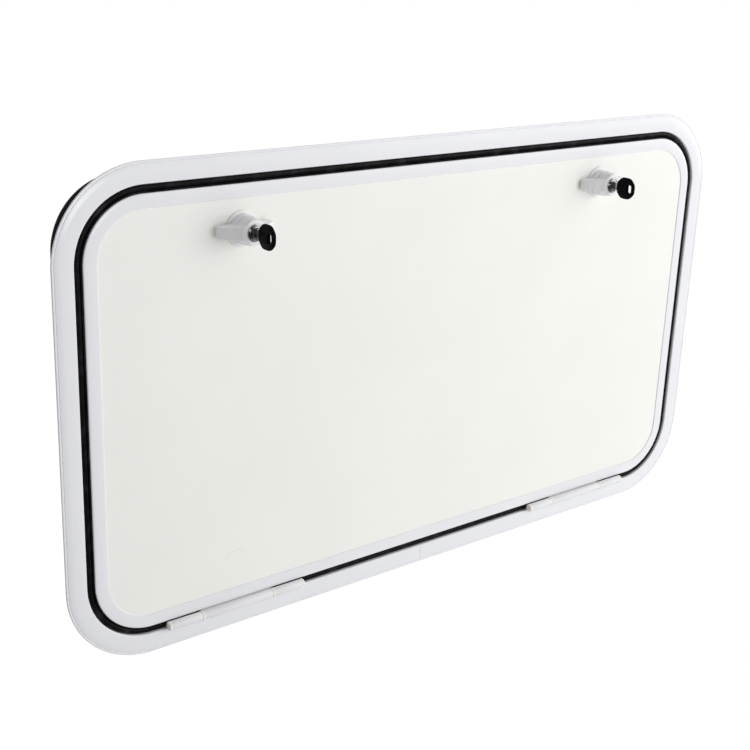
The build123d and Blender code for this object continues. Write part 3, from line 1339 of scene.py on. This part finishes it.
@dataclass
class Hinge:
    """One butt hinge: end knuckles on the frame and the long one on the door."""

    shop: Workshop
    side: Side
    place: Matrix = field(init=False)
    barrel_radius: float = 4.5
    barrel_sides: int = 72
    pin_radius: float = 2.5
    bore_radius: float = 2.55
    bore_sides: int = 48
    end_knuckle: float = 35.0
    middle_knuckle: float = 82.0
    washer: float = 1.0
    collar: float = 2.0
    collar_height: float = 0.4
    collar_fit: float = 0.03
    collar_round: float = 0.2
    cap: float = 3.0
    cap_round: float = 1.4
    cap_edge: float = 0.2
    spigot: float = 2.0
    spigot_round: float = 0.3
    leaf: float = 1.8
    leaf_depth: float = 15.0
    leaf_front: float = 5.6
    leaf_lap: float = 1.5
    lap_thinning: float = 0.06
    gap: float = 7.9
    edge: float = 0.35
    rivet_count: int = 4
    rivet_sides: int = 20
    rivet_steps: int = 4
    rivet_pitch: float = 24.0
    rivet_radius: float = 2.2
    rivet_height: float = 0.6
    rivet_depth: float = 10.6

    def __post_init__(self) -> None:
        """Find the pin's middle."""
        low, high = node_box(self.side.of("hinge_pin"))
        middle = (low + high) / 2
        self.place = Facing.HINGE.at(middle.x, middle.z, -middle.y)

    def build(self) -> None:
        """Make and fit the leaves, the caps, the washers and the rivets."""
        for make, body, slot, node in (
            (self.frame_leaf, "frame", "hinge_enamel", "hinge_frame_leaf"),
            (self.door_leaf, "door", "hinge_enamel", "hinge_door_leaf"),
            (self.caps, "frame", "hinge_nylon", "hinge_caps"),
            (self.washers, "frame", "hinge_nylon", "hinge_washers"),
        ):
            self.shop.dress(make(), body, slot, self.side.of(node))
        for up, body in ((-1, "frame"), (1, "door")):
            fit(self.rivets(up, f"{body}_rivets"), body, "pin_steel")

    def knuckle(self, up: int, tail: float, thinning: float = 0.0) -> list[list[Point]]:
        """Outlines of a barrel with its leaf, and of the pin's hole.

        Args:
            up: 1 for a leaf above the pin, -1 for one below.
            tail: How far the leaf runs into the wall from the pin.
            thinning: How much the leaf is thinned on each face.

        Returns:
            The outlines, into the wall and up from the pin.
        """
        outer = self.gap / 2 - thinning
        inner = self.gap / 2 - self.leaf + thinning
        start = math.asin(inner / self.barrel_radius)
        sweep = math.tau - (math.asin(outer / self.barrel_radius) - start)
        barrel = arc(self.barrel_radius, up * start, -up * sweep, self.barrel_sides)
        leaf = [(tail, up * outer), (tail, up * inner)]
        return [barrel + leaf, circle(self.bore_radius, self.bore_sides)]

    def frame_leaf(self) -> Piece:
        """The fixed leaf with its two end knuckles.

        Returns:
            The leaf.
        """
        draft = MeshDraft()
        centre = (self.middle_knuckle + self.end_knuckle) / 2 + self.washer
        outlines = self.knuckle(-1, self.leaf_front + self.leaf_lap, self.lap_thinning)
        for along in (-centre, centre):
            shift = Matrix.Translation((0, 0, along))
            draft.plate(outlines, self.end_knuckle, self.edge, self.place @ shift)
        low, high = -self.gap / 2, self.leaf - self.gap / 2
        strip = rectangle((self.leaf_front, low), (self.leaf_depth, high))
        draft.plate([strip], 2 * centre + self.end_knuckle, self.edge, self.place)
        return draft.piece(self.side.of("frame_leaf"))

    def door_leaf(self) -> Piece:
        """The moving leaf with the long middle knuckle.

        Returns:
            The leaf.
        """
        draft = MeshDraft()
        outlines = self.knuckle(1, self.leaf_depth)
        draft.plate(outlines, self.middle_knuckle, self.edge, self.place)
        return draft.piece(self.side.of("door_leaf"))

    def turned_pair(self, name: str, profile: list[Point], reach: float) -> Piece:
        """Two like turned pieces on the pin.

        Args:
            name: The pair's name without its side.
            profile: Radius and distance away from the hinge's middle.
            reach: How far from that middle the profile starts.

        Returns:
            The pair.
        """
        draft = MeshDraft()
        for end in (-1, 1):
            turned = [(radius, end * (reach + along)) for radius, along in profile]
            draft.lathe(turned, self.place, self.barrel_sides)
        return draft.piece(self.side.of(name))

    def caps(self) -> Piece:
        """Rounded nylon plugs in both ends of the barrel.

        Returns:
            Both plugs.
        """
        profile = rounded_outline(
            [
                (0.0, -self.spigot, 0.0),
                (self.pin_radius, -self.spigot, self.spigot_round),
                (self.pin_radius, 0.0, 0.0),
                (self.barrel_radius, 0.0, self.cap_edge),
                (self.barrel_radius, self.cap, self.cap_round),
                (0.0, self.cap, 0.0),
            ]
        )
        reach = self.middle_knuckle / 2 + self.washer + self.end_knuckle
        return self.turned_pair("hinge_end_caps", profile, reach)

    def washers(self) -> Piece:
        """Nylon rings between the knuckles, with a collar round their ends.

        Returns:
            Both rings.
        """
        half, wide = self.washer / 2, self.collar / 2
        inside = self.barrel_radius + self.collar_fit
        outside = self.barrel_radius + self.collar_height
        profile = rounded_outline(
            [
                (self.bore_radius, -half, 0.0),
                (inside, -half, 0.0),
                (inside, -wide, 0.0),
                (outside, -wide, self.collar_round),
                (outside, wide, self.collar_round),
                (inside, wide, 0.0),
                (inside, half, 0.0),
                (self.bore_radius, half, 0.0),
            ]
        )
        return self.turned_pair("hinge_washer_pair", profile, self.middle_knuckle / 2 + half)

    def rivets(self, up: int, name: str) -> Piece:
        """A row of rivets in one leaf.

        Args:
            up: 1 for the upper leaf, whose heads face down, -1 for the lower one.
            name: The piece's name without its side.

        Returns:
            The row.
        """
        quarter = arc(1.0, 0.0, math.pi / 2, self.rivet_steps)[:-1]
        dome = [(self.rivet_radius * x, self.rivet_height * y) for x, y in quarter]
        profile = [(0.0, 0.0), *dome, (0.0, self.rivet_height)]
        turned = [(radius, -up * along) for radius, along in profile]
        draft = MeshDraft()
        draft.lathe(turned, Matrix(), self.rivet_sides)
        head = draft.piece("rivet_head")
        first = -self.rivet_pitch * (self.rivet_count - 1) / 2
        seat = Vector((self.rivet_depth, up * (self.gap / 2 - self.leaf), first))
        row = self.shop.fastener_row.make(
            self.side.of(name),
            Fastener=head,
            Count=self.rivet_count,
            First=(self.place @ seat) * MM,
            Step=(self.rivet_pitch * MM, 0.0, 0.0),
            Finish=self.shop.paints.materials["pin_steel"],
        )
        discard(head)
        return row


@dataclass
class WingHandle:
    """The moulded handle: a hub, a tapered barrel and two wings that run into it."""

    rear: float = 4.2
    rear_round: float = 0.5
    hub_radius: float = 14.0
    hub_top: float = 13.8
    groove_depth: float = 2.4
    groove_width: float = 1.7
    groove_edge: float = 0.1
    rim_radius: float = 12.1
    rim_round: float = 1.0
    top: float = 25.0
    bore_radius: float = 8.2
    bore_rear: float = 16.5
    bore_round: float = 0.8
    reach: float = 30.0
    wing_rear: float = 4.6
    wing_round: float = 0.6
    tip_top: float = 8.4
    tip_round: float = 0.5
    root_reach: float = 13.5
    root_top: float = 24.2
    half_height: float = 5.3
    taper: float = 0.06
    edge: float = 1.0
    swell: float = 2.0
    swell_round: float = 28.0
    blend: float = 4.0
    turns: int = 240
    tip_bias: float = 0.42
    level_gap: float = 0.5
    least_gap: float = 0.02
    crease: float = 40.0

    def barrel(self) -> list[Point]:
        """Draw the turned part.

        Returns:
            Its radius and out, from rear to front.
        """
        floor = self.hub_radius - self.groove_depth
        lower = self.hub_top - self.groove_width
        outline = rounded_outline(
            [
                (0.0, self.rear, 0.0),
                (self.hub_radius, self.rear, self.rear_round),
                (self.hub_radius, lower, self.groove_edge),
                (floor, lower + self.groove_edge, self.groove_edge),
                (floor, self.hub_top - self.groove_edge, self.groove_edge),
                (self.hub_radius, self.hub_top, self.groove_edge),
                (self.rim_radius, self.top, self.rim_round),
                (0.0, self.top, 0.0),
            ]
        )
        return outline[1:-1]

    def wing(self) -> list[Point]:
        """Draw the wing's end, on past its root.

        Returns:
            Its reach and out, from rear to front.
        """
        middle = (self.reach + self.root_reach) / 2 + self.swell
        height = (self.tip_top + self.root_top) / 2
        slope = (middle - self.root_reach) / (self.root_top - height)
        far = middle - slope * (self.top - height)
        outline = rounded_outline(
            [
                (0.0, self.wing_rear, 0.0),
                (self.reach, self.wing_rear, self.wing_round),
                (self.reach, self.tip_top, self.tip_round),
                (middle, height, self.swell_round),
                (far, self.top, 0.0),
            ]
        )
        return outline[1:]

    @staticmethod
    def at(line: Sequence[Point], out: float) -> float:
        """Read a line at one height.

        Args:
            line: Radius or reach, and out, from rear to front.
            out: The height.

        Returns:
            The radius or reach there, or that of the nearer end.
        """
        index = bisect_right([point[1] for point in line], out) - 1
        if index < 0 or index >= len(line) - 1:
            return line[0][0] if index < 0 else line[-1][0]
        (low, start), (high, end) = line[index], line[index + 1]
        return low + (high - low) * (out - start) / (end - start)

    def directions(self) -> list[float]:
        """Angles round the handle, closer together at the wings' tips."""
        even = [math.tau * index / self.turns for index in range(self.turns)]
        return [turn - self.tip_bias * math.sin(2 * turn) for turn in even]

    def bar(self, turn: float, reach: float) -> float:
        """Distance from the axis to the wing's rounded bar.

        Args:
            turn: Direction from the axis.
            reach: The bar's half length at this height.

        Returns:
            The distance in that direction.
        """
        across, up = abs(math.cos(turn)), abs(math.sin(turn))
        slant = math.hypot(1.0, self.taper)
        line = self.half_height + self.taper * self.reach
        x = reach - self.edge
        y = line - self.taper * x - self.edge * slant
        along, off = x * across + y * up, y * across - x * up
        if abs(off) <= self.edge:
            hit = along + math.sqrt(self.edge**2 - off**2)
            if hit * across >= x + self.edge * self.taper / slant and hit * up >= y:
                return hit
        flat = reach / across if across > 0 else math.inf
        return min(flat, line / (up + self.taper * across))

    def slice(self, out: float, winged: bool) -> list[float]:
        """Cut the handle at one height.

        Args:
            out: The height.
            winged: False for the part behind the wings.

        Returns:
            The distance from the axis to its outline, in each direction.
        """
        disc = self.at(self.barrel(), out)
        if not winged:
            return [disc] * self.turns
        reach = self.at(self.wing(), out)
        radii = []
        for turn in self.directions():
            bar = self.bar(turn, reach)
            share = max(self.blend - abs(disc - bar), 0.0) / self.blend
            radii.append(max(disc, bar) + share**2 * self.blend / 4)
        return radii

    def levels(self) -> list[tuple[float, bool]]:
        """Choose the heights of the slices, with two where the wings start.

        Returns:
            The heights, each with whether the wings are there.
        """
        steps = int((self.top - self.rear) / self.level_gap)
        outs = [out for _, out in self.barrel() + self.wing()]
        outs += [self.rear + self.level_gap * index for index in range(1, steps)]
        kept: list[float] = []
        for out in sorted(round(out, 4) for out in outs):
            if not kept or out - kept[-1] > self.least_gap:
                kept.append(out)
        behind = [(out, False) for out in kept if out <= self.wing_rear]
        return behind + [(out, True) for out in kept if out >= self.wing_rear]

    def build(self, name: str, place: Matrix) -> Piece:
        """Stack the slices and close the stack with the bore.

        Args:
            name: The piece's name.
            place: The lock's axis, with out as the third axis.

        Returns:
            The handle.
        """
        bore = rounded_outline(
            [
                (self.rim_radius, self.top, 0.0),
                (self.bore_radius, self.top, self.bore_round),
                (self.bore_radius, self.bore_rear, 0.0),
                (self.rim_radius, self.bore_rear, 0.0),
            ]
        )
        stack = [(self.slice(out, winged), out) for out, winged in self.levels()]
        stack += [([radius] * self.turns, out) for radius, out in bore[1:-1]]
        draft = MeshDraft()
        rings = []
        for radii, out in stack:
            arms = zip(radii, self.directions())
            outline = [(arm * math.cos(turn), arm * math.sin(turn)) for arm, turn in arms]
            rings.append(draft.ring(place @ Vector((x, y, out)) for x, y in outline))
        for first, second in zip(rings, rings[1:]):
            draft.bridge(first, second)
        for end in (rings[0], rings[-1]):
            draft.bm.faces.new(end)
        return draft.piece(name, self.crease)


@dataclass
class WingLock:
    """One lock: rosette, nut, wing handle, tongue, cylinder, plug and key."""

    shop: Workshop
    side: Side
    axis: Vector = field(init=False)
    place: Matrix = field(init=False)
    handle: WingHandle = field(default_factory=WingHandle)
    turned_sides: int = 96
    rosette_radius: float = 17.2
    rosette_face: float = 3.9
    rosette_round: float = 1.1
    rosette_foot: float = 0.15
    panel_out: float = 2.0
    panel_rear: float = -16.0
    sleeve_radius: float = 11.0
    sleeve_end: float = -22.0
    sleeve_round: float = 0.5
    spindle_bore: float = 6.1
    nut_flats: float = 30.0
    nut: float = 5.0
    nut_round: float = 1.0
    nut_edge: float = 0.5
    nut_fit: float = 0.1
    nut_sides: int = 64
    tongue_front: float = -36.5
    tongue: float = 3.0
    tongue_run: float = 38.1
    tongue_width: float = 16.0
    tongue_square: float = 8.2
    tongue_edge: float = 0.35
    small_nut_flats: float = 10.0
    small_nut: float = 5.0
    small_nut_round: float = 0.5
    small_nut_edge: float = 0.4
    stud_bore: float = 3.1
    stud_sides: int = 40
    cylinder_radius: float = 8.1
    cylinder_bore: float = 6.1
    cylinder_rear: float = 16.5
    cylinder_face: float = 25.5
    cylinder_round: float = 0.8
    cylinder_edge: float = 0.2
    chamfer: Point = (0.6, 0.5)
    chamfer_round: float = 0.1
    plug_radius: float = 6.0
    plug_rear: float = 16.6
    plug_face: float = 25.9
    plug_edge: float = 0.3
    plug_sides: int = 72
    keyway: Point = (2.6, 9.0)
    keyway_round: float = 0.3
    blade: Point = (2.2, 8.4)
    blade_rear: float = 18.9
    blade_front: float = 38.1
    blade_edge: float = 0.12
    blade_groove: float = 0.45
    groove_mouth: Point = (0.5, 2.7)
    groove_floor: Point = (0.9, 2.3)
    head_start: float = 32.1
    head_size: Point = (24.2, 23.5)
    head: float = 4.0
    head_corner: float = 6.5
    head_corner_radius: float = 7.5
    head_edge: float = 1.2
    ring_hole: Point = (5.4, 9.3)
    ring_place: float = 18.0

    def __post_init__(self) -> None:
        """Find the lock's axis."""
        self.axis = joint_place(self.side.of("key_turn"))
        self.place = Facing.OUT.at(self.axis.x, self.axis.z)

    def build(self) -> None:
        """Make and fit each piece of the lock."""
        handle, key = self.side.of("handle"), self.side.of("key")
        for make, body, slot, node in (
            (self.rosette, "door", "lock_plastic", "lock_rosette"),
            (self.sleeve_nut, "door", "lock_plastic", "lock_nut"),
            (self.wings, handle, "handle_plastic", "handle"),
            (self.latch, handle, "zinc_steel", "latch_tongue"),
            (self.stud_nut, handle, "zinc_steel", "tongue_nut"),
            (self.cylinder, handle, "cylinder_chrome", "lock_cylinder"),
            (self.plug, key, "plug_nickel", "lock_plug"),
            (self.key_blade, key, "key_nickel", "key_blade"),
            (self.key_bow, key, "key_black", "key_head"),
        ):
            self.shop.dress(make(), body, slot, self.side.of(node))

    def plate(
        self, name: str, outlines: list[list[Point]], rear: float, front: float, edge: float
    ) -> Piece:
        """A plate across the lock's axis.

        Args:
            name: The piece's name without its side.
            outlines: The outline, then the holes.
            rear: How far out its rear face is.
            front: How far out its front face is.
            edge: Radius of its edges.

        Returns:
            The piece.
        """
        draft = MeshDraft()
        place = self.place @ Matrix.Translation((0, 0, (rear + front) / 2))
        draft.plate(outlines, front - rear, edge, place)
        return draft.piece(self.side.of(name))

    def turned(self, name: str, corners: list[Triple]) -> Piece:
        """A piece turned about the lock's axis.

        Args:
            name: The piece's name without its side.
            corners: Radius, out and rounding of its profile's corners.

        Returns:
            The piece.
        """
        draft = MeshDraft()
        draft.lathe(rounded_outline(corners), self.place, self.turned_sides)
        return draft.piece(self.side.of(name))

    def rosette(self) -> Piece:
        """The round base under the handle, with the sleeve through the door.

        Returns:
            The rosette.
        """
        corners = [
            (self.spindle_bore, self.sleeve_end, 0.0),
            (self.sleeve_radius, self.sleeve_end, self.sleeve_round),
            (self.sleeve_radius, self.panel_out, 0.0),
            (self.rosette_radius, self.panel_out, self.rosette_foot),
            (self.rosette_radius, self.rosette_face, self.rosette_round),
            (self.spindle_bore, self.rosette_face, 0.0),
        ]
        return self.turned("rosette", corners)

    def sleeve_nut(self) -> Piece:
        """The nut on the sleeve, behind the door.

        Returns:
            The nut.
        """
        bore = circle(self.sleeve_radius + self.nut_fit, self.nut_sides)
        outlines = [hexagon(self.nut_flats, self.nut_round), bore]
        rear = self.panel_rear - self.nut
        return self.plate("sleeve_nut", outlines, rear, self.panel_rear, self.nut_edge)

    def wings(self) -> Piece:
        """The handle."""
        return self.handle.build(self.side.of("wing_handle"), self.place)

    def latch(self) -> Piece:
        """The tongue, which lies towards the hatch's middle at rest.

        Returns:
            The tongue.
        """
        half, square = self.tongue_width / 2, self.tongue_square / 2
        run, tip = (-math.copysign(length, self.axis.x) for length in (self.tongue_run, half))
        slot = rectangle((-tip, -half), (run + tip, half), half * FULL_ROUND, FINE_STEP)
        outlines = [slot, rectangle((-square, -square), (square, square))]
        rear = self.tongue_front - self.tongue
        return self.plate("tongue", outlines, rear, self.tongue_front, self.tongue_edge)

    def stud_nut(self) -> Piece:
        """The nut that holds the tongue.

        Returns:
            The nut.
        """
        bore = circle(self.stud_bore, self.stud_sides)
        outlines = [hexagon(self.small_nut_flats, self.small_nut_round), bore]
        front = self.tongue_front - self.tongue
        rear = front - self.small_nut
        return self.plate("tongue_hex_nut", outlines, rear, front, self.small_nut_edge)

    def cylinder(self) -> Piece:
        """The chromed lock cylinder round the plug.

        Returns:
            The cylinder.
        """
        bore, face = self.cylinder_bore, self.cylinder_face
        wide, deep = self.chamfer
        corners = [
            (bore, self.cylinder_rear, 0.0),
            (self.cylinder_radius, self.cylinder_rear, self.cylinder_edge),
            (self.cylinder_radius, face, self.cylinder_round),
            (bore + wide, face, self.cylinder_edge),
            (bore, face - deep, self.chamfer_round),
        ]
        return self.turned("chrome_cylinder", corners)

    def plug(self) -> Piece:
        """The plug with its keyway.

        Returns:
            The plug.
        """
        across, up = (length / 2 for length in self.keyway)
        keyway = rectangle((-across, -up), (across, up), self.keyway_round)
        outlines = [circle(self.plug_radius, self.plug_sides), keyway]
        return self.plate("key_plug", outlines, self.plug_rear, self.plug_face, self.plug_edge)

    def key_blade(self) -> Piece:
        """The key's blade with a milled groove along each side.

        Returns:
            The blade.
        """
        across, up = (length / 2 for length in self.blade)
        (start, end), (low, high) = self.groove_mouth, self.groove_floor
        cut = across - self.blade_groove
        groove = [(across, start), (cut, low), (cut, high), (across, end)]
        half = [(across, -up), *groove, (across, up)]
        outline = half + [(-x, -y) for x, y in half]
        return self.plate("blade", [outline], self.blade_rear, self.blade_front, self.blade_edge)

    def key_bow(self) -> Piece:
        """The key's moulded head, with the hole for a ring.

        Returns:
            The head.
        """
        length, half = self.head_size[0], self.head_size[1] / 2
        corner = self.head_corner
        lower = [
            (0.0, corner - half),
            (corner, -half),
            (length - corner, -half),
            (length, corner - half),
        ]
        corners = lower + [(x, -y) for x, y in reversed(lower)]
        radius = self.head_corner_radius
        outline = rounded_outline([(x, y, radius) for x, y in corners], FINE_STEP)
        wide, tall = (size / 2 for size in self.ring_hole)
        near, far = self.ring_place - wide, self.ring_place + wide
        hole = rectangle((near, -tall), (far, tall), wide * FULL_ROUND)
        draft = MeshDraft()
        place = Facing.KEY.at(self.axis.x, self.axis.z, self.head_start)
        draft.plate([outline, hole], self.head, self.head_edge, place)
        return draft.piece(self.side.of("key_bow"))


@dataclass
class Studio:
    """Camera, lamps, sky and floor, in metres, degrees and watts.

    A pair is a low and a high value, or where they are reached.
    """

    lens: float = 62.83
    sensor: float = 36.0
    camera_place: Triple = (-0.87177, -1.00097, 0.44294)
    heading: float = -38.60
    elevation: float = 19.257
    roll: float = 2.143
    # The open door hangs this far below the frame
    floor_drop: float = 0.43
    floor_reach: float = 6.0
    floor_glow: float = 0.965
    floor_albedo: float = 0.07
    floor_light: Point = (0.26, 1.0)
    floor_span: Point = (-1.2, 1.0)
    floor_gloss: float = 0.12
    bounce_albedo: float = 0.3
    ambient: Point = (0.25, 1.09)
    zenith: float = 0.6
    facing: float = 1.6
    gloss_far: float = 1.0
    gloss_turn: Point = (-0.2, 0.5)
    gloss_near: Point = (0.12, 1.9)
    gloss_span: Point = (0.3, 0.85)
    key_place: Triple = (1.0, -1.5, 0.3)
    key_size: float = 1.0
    key_power: float = 9.4
    band_place: Triple = (-0.08, -1.5, 0.2)
    band_size: float = 0.36
    band_power: float = 3.0
    back_place: Triple = (0.5, 1.6, 0.5)
    back_power: float = 9.0

    def build(self) -> None:
        """Set the scene up for its picture."""
        self.camera()
        self.sky()
        self.floor()
        key = self.lamp("key_lamp", self.key_place, self.key_size, self.key_power)
        key.visible_glossy = False
        band = self.lamp("band_lamp", self.band_place, self.band_size, self.band_power)
        band.visible_diffuse = False
        back = self.lamp("back_lamp", self.back_place, self.key_size, self.back_power)
        back.visible_glossy = False
        bpy.context.scene.view_settings.view_transform = "Standard"

    def camera(self) -> None:
        """Place the camera where the photo was taken from."""
        data = bpy.data.cameras.new("camera")
        data.lens = self.lens
        data.sensor_width = self.sensor
        camera = add_object("camera", data)
        turn = (
            Matrix.Rotation(math.radians(self.heading), 4, "Z")
            @ Matrix.Rotation(math.radians(90 - self.elevation), 4, "X")
            @ Matrix.Rotation(math.radians(self.roll), 4, "Z")
        )
        camera.matrix_world = Matrix.Translation(self.camera_place) @ turn
        bpy.context.scene.camera = camera

    def lamp(self, name: str, place: Triple, size: float, power: float) -> Piece:
        """Add a square soft box that faces the hatch.

        Args:
            name: The lamp's name.
            place: Where it stands.
            size: Length of its sides.
            power: Its power in watts.

        Returns:
            The lamp.
        """
        data = bpy.data.lights.new(name, "AREA")
        data.size = size
        data.energy = power
        lamp = add_object(name, data)
        facing = (-Vector(place)).to_track_quat("-Z", "Y").to_matrix().to_4x4()
        lamp.matrix_world = Matrix.Translation(place) @ facing
        return lamp

    def sky(self) -> None:
        """White for the camera; for the hatch, soft light from the right and a dim left."""
        world = bpy.data.worlds.new("studio")
        bpy.context.scene.world = world
        world.use_nodes = True
        sketch = NodeSketch(world.node_tree)
        path = sketch.node("ShaderNodeLightPath").outputs
        way = sketch.split(sketch.node("ShaderNodeTexCoord").outputs["Generated"])
        side = sketch.spread(way["X"], *self.ambient, -1.0, 1.0)
        dim = sketch.spread(way["Z"], 1.0, self.zenith, 0.0, 1.0)
        square = sketch.spread(sketch.math("ABSOLUTE", way["Y"]), 1.0, self.facing, 0.0, 1.0)
        behind = sketch.spread(way["Y"], 0.0, 1.0, *self.gloss_turn)
        across = sketch.spread(way["X"], *self.gloss_near, *self.gloss_span)
        gloss = sketch.blend(behind, across, self.gloss_far)
        level = sketch.blend(path["Is Glossy Ray"], sketch.times(side, dim, square), gloss)
        shown = sketch.blend(path["Is Transmission Ray"], level, 1.0)
        background = sketch.tree.nodes["Background"].inputs
        sketch.feed(background["Color"], WHITE)
        sketch.feed(background["Strength"], sketch.blend(path["Is Camera Ray"], shown, 1.0))

    def floor(self) -> None:
        """A pale floor that glows for the camera and keeps a faint shadow; it also glows as a light on the hatch
        from below, brighter to the right, and shows darker in reflections.
        """
        reach = self.floor_reach
        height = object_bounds()[0].z - self.floor_drop
        corners = rectangle((-reach, -reach), (reach, reach))
        mesh = bpy.data.meshes.new("floor")
        mesh.from_pydata([(x, y, height) for x, y in corners], [], [(0, 1, 2, 3)])
        floor = add_object("floor", mesh)
        sketch = ShaderSketch("floor_paper")
        path = sketch.node("ShaderNodeLightPath").outputs
        camera = path["Is Camera Ray"]
        bounce = sketch.blend(path["Is Glossy Ray"], self.bounce_albedo, self.floor_gloss)
        level = sketch.blend(camera, bounce, self.floor_albedo)
        grey = sketch.node("ShaderNodeCombineColor", {0: level, 1: level, 2: level})
        side = sketch.spread(sketch.split(sketch.coords)["X"], *self.floor_light, *self.floor_span)
        light = sketch.times(path["Is Diffuse Ray"], side)
        glow = sketch.times(camera, self.floor_glow)
        sketch.drive(Base_Color=grey.outputs[0], Roughness=1.0, Specular_IOR_Level=0.0)
        sketch.drive(Emission_Color=WHITE, Emission_Strength=sketch.math("ADD", glow, light))
        mesh.materials.append(sketch.material)
        floor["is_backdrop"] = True


def dress_frame(paints: Paintbox) -> None:
    """Give every CAD node that still shows the finish of its slot.

    Args:
        paints: The finishes.
    """
    for subpart in frame["record"]["subparts"]:
        paints.paint(frame["nodes"][subpart["node"]], subpart["material_slot"])
    LOG.info("%d nodes of the frame dressed", len(frame["nodes"]))


def main() -> None:
    """Build the hatch's pieces in order."""
    logging.basicConfig(level=logging.INFO, format="%(name)s: %(message)s")
    shop = Workshop()
    hatch_frame = HatchFrame(shop)
    hatch_frame.build()
    HatchDoor(shop).build(hatch_frame)
    for side in Side:
        Hinge(shop, side).build()
        WingLock(shop, side).build()
    dress_frame(shop.paints)
    Studio().build()
    LOG.info("boxes written")


if __name__ == "__main__":
    main()
